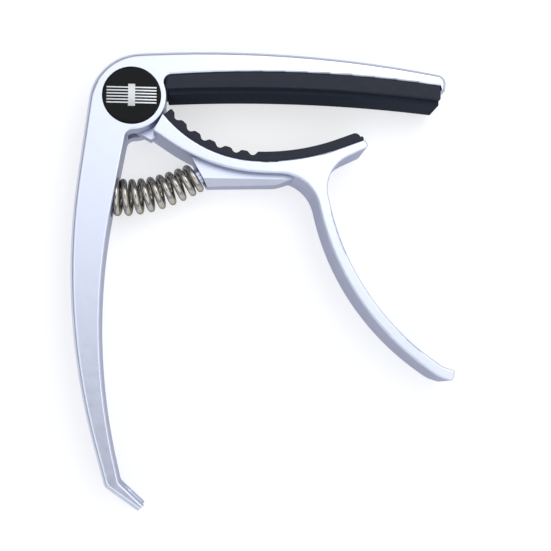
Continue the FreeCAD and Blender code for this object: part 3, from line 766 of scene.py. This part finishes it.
def studio_room():
    """The surroundings that the castings mirror: a broad white ceiling over grey walls with a pale
    skirting, and the dark opening that the camera looks through, which shades the long handle
    towards its foot. Each edge is a smooth step of the angle from its middle, as cosines."""
    world = bpy.data.worlds.new("studio_room")
    world.use_nodes = True
    tree = world.node_tree
    background = next(n for n in tree.nodes if n.type == "BACKGROUND")
    way = add(tree, "ShaderNodeTexCoord").outputs["Generated"]

    def spread(middle, inner, outer):
        """One within inner degrees of the middle, nothing past outer degrees."""
        near = add(tree, "ShaderNodeVectorMath", {"operation": "DOT_PRODUCT"}, i0=way,
                   i1=Vector(middle).normalized())
        return add(tree, "ShaderNodeMapRange", {"interpolation_type": "SMOOTHSTEP"},
                   Value=near.outputs["Value"], From_Min=math.cos(math.radians(outer)),
                   From_Max=math.cos(math.radians(inner))).outputs["Result"]

    def mix(share, rest, inside):
        return add(tree, "ShaderNodeMix", {"data_type": "RGBA"}, i0=share, i6=rest,
                   i7=inside).outputs[2]

    room = mix(spread((0.0, 0.0, 1.0), 74, 82), SKIRTING, WALLS)
    room = mix(spread((0.12, -0.16, 1.0), 40, 66), room, CEILING)
    room = mix(spread((-0.06, -0.16, 1.0), 10.0, 16.5), room, OPENING)
    tree.links.new(room, background.inputs["Color"])
    bpy.context.scene.world = world


def floor_sheet():
    """A flat square grid just below the capo: point (i, j) stands at even steps along X and Y."""
    spots = np.linspace(-FLOOR_HALF, FLOOR_HALF, FLOOR_CELLS)
    x, y = np.meshgrid(spots, spots, indexing="ij")
    points = np.stack([x, y, np.full_like(x, -FLOOR_DROP)], -1).reshape(-1, 3)
    i, j = np.meshgrid(np.arange(FLOOR_CELLS - 1), np.arange(FLOOR_CELLS - 1), indexing="ij")
    corner, beside = i * FLOOR_CELLS + j, (i + 1) * FLOOR_CELLS + j
    quads = np.stack([corner, beside, beside + 1, corner + 1], -1).reshape(-1, 4)
    mesh = bpy.data.meshes.new("studio_floor")
    mesh.from_pydata(points.tolist(), [], quads.tolist())
    mesh.update()
    floor = bpy.data.objects.new("studio_floor", mesh)
    bpy.context.scene.collection.objects.link(floor)
    return floor


class CAPO_OT_stage(bpy.types.Operator):
    """Pale floor, soft lights and the camera"""
    bl_idname = "capo.stage"
    bl_label = "Stage"

    def execute(self, context):
        scene = context.scene
        floor = floor_sheet()
        clad(floor, studio_paper(scene.capo_finishes))
        studio_room()
        softbox("key", (180, 260, 420), (0, 0, 6), 300, 0.35)
        camera = bpy.data.cameras.new("camera")
        camera.lens, camera.clip_start, camera.clip_end = LENS, 0.01, 10
        holder = bpy.data.objects.new("camera", camera)
        holder.location = [v * MM for v in CAMERA]
        holder.rotation_euler = facing(CAMERA, AIM)
        scene.collection.objects.link(holder)
        scene.camera = holder
        scene.view_settings.view_transform = "Standard"
        return {"FINISHED"}


OPERATORS = (CAPO_OT_castings, CAPO_OT_pivot, CAPO_OT_upper_pad, CAPO_OT_lower_pad,
             CAPO_OT_spring, CAPO_OT_caps, CAPO_OT_stage)


class CAPO_PT_panel(bpy.types.Panel):
    """Sizes, colours and pieces of the capo"""
    bl_idname = "CAPO_PT_panel"
    bl_label = "Guitar trigger capo"
    bl_space_type = "VIEW_3D"
    bl_region_type = "UI"
    bl_category = "Capo"

    def draw(self, context):
        for attribute in GROUPS:
            box = self.layout.box()
            group = getattr(context.scene, attribute)
            for key in group.bl_rna.properties.keys():
                if key not in ("rna_type", "name"):
                    box.prop(group, key)
        for operator in OPERATORS:
            self.layout.operator(operator.bl_idname)


def register():
    for group in GROUPS.values():
        bpy.utils.register_class(group)
    for attribute, group in GROUPS.items():
        setattr(bpy.types.Scene, attribute, PointerProperty(type=group))
    for entry in OPERATORS:
        bpy.utils.register_class(entry)
    bpy.utils.register_class(CAPO_PT_panel)


def unregister():
    bpy.utils.unregister_class(CAPO_PT_panel)
    for entry in reversed(OPERATORS):
        bpy.utils.unregister_class(entry)
    for attribute in GROUPS:
        delattr(bpy.types.Scene, attribute)
    for group in reversed(GROUPS.values()):
        bpy.utils.unregister_class(group)


def main():
    register()
    bpy.ops.capo.castings()
    bpy.ops.capo.pivot()
    bpy.ops.capo.upper_pad()
    bpy.ops.capo.lower_pad()
    bpy.ops.capo.spring()
    bpy.ops.capo.caps()
    bpy.ops.capo.stage()


if __name__ == "__main__":
    main()
